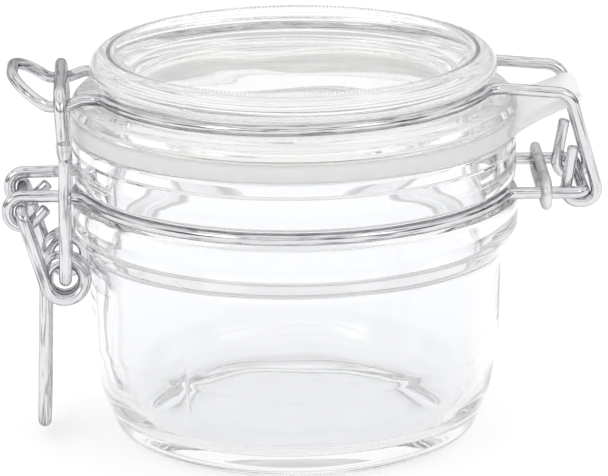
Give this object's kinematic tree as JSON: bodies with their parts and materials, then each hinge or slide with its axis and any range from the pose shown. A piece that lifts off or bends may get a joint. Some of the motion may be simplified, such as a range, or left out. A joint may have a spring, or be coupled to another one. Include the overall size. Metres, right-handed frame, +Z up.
{
  "type": "lidded glass canister",
  "caption": "Squat round glass canister with a hinged glass lid, a rubber gasket and a bent-wire clamp that pulls the lid down.",
  "frame": {"origin": "on the jar's axis at the plane it stands on", "axes": "+Z up along the jar's axis, +X towards the hinge, -X towards the latch"},
  "size_m": [0.1034, 0.0776, 0.0684],
  "materials": {
    "clear_glass": "gloss",
    "gasket_rubber": "satin",
    "steel_wire": "gloss"
  },
  "bodies": {
    "jar": {"jar_glass": "clear_glass", "neck_wire": "steel_wire", "clip_ring": "steel_wire"},
    "lid": {"lid_glass": "clear_glass", "lid_wire": "steel_wire", "gasket": "gasket_rubber"},
    "lever": {"lever": "steel_wire"},
    "bail": {"bail": "steel_wire"}
  },
  "joints": [
    {"name": "lid_hinge", "type": "hinge", "parent": "jar", "child": "lid", "pos_m": [0.0495, 0, 0.0448], "axis": [0, 1, 0], "range_deg": [0, 105]},
    {"name": "lever_swing", "type": "hinge", "parent": "jar", "child": "lever", "pos_m": [-0.0472, 0, 0.04235], "axis": [0, 1, 0], "range_deg": [0, 120]},
    {"name": "bail_swing", "type": "hinge", "parent": "lever", "child": "bail", "pos_m": [-0.03985, 0, 0.0308], "axis": [0, 1, 0], "range_deg": [-300, 0]}
  ],
  "couplings": [
    {"joint": "bail_swing", "follows": "lever_swing", "ratio": -2.5}
  ]
}
